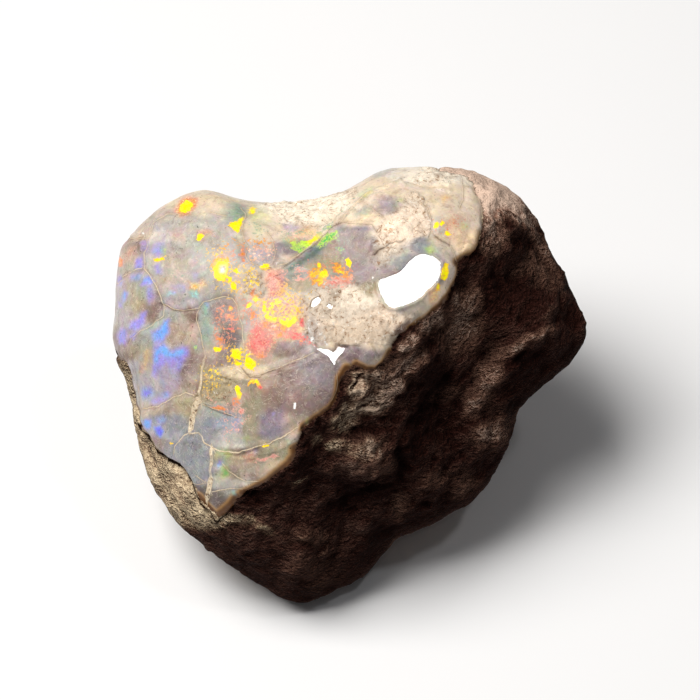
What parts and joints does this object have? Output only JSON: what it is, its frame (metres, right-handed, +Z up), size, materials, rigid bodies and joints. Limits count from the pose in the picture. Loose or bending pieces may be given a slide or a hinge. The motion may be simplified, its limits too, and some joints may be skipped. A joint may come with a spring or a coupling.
{
  "type": "rough opal stone",
  "caption": "Cobble of brown host rock broken open to a sloping face of milky precious opal, lying on its flattened underside with the face looking up.",
  "frame": {"origin": "on the surface that the stone lies on, straight below the stone's middle", "axes": "+Z up, -Y towards the side that the opal face leans to, +X to the right across the face"},
  "size_m": [0.0474, 0.0391, 0.0345],
  "materials": {
    "opal_stone": "rough brown host rock with a broken face of glassy milky opal"
  },
  "bodies": {
    "root": {"rough_opal": "opal_stone"}
  },
  "joints": []
}
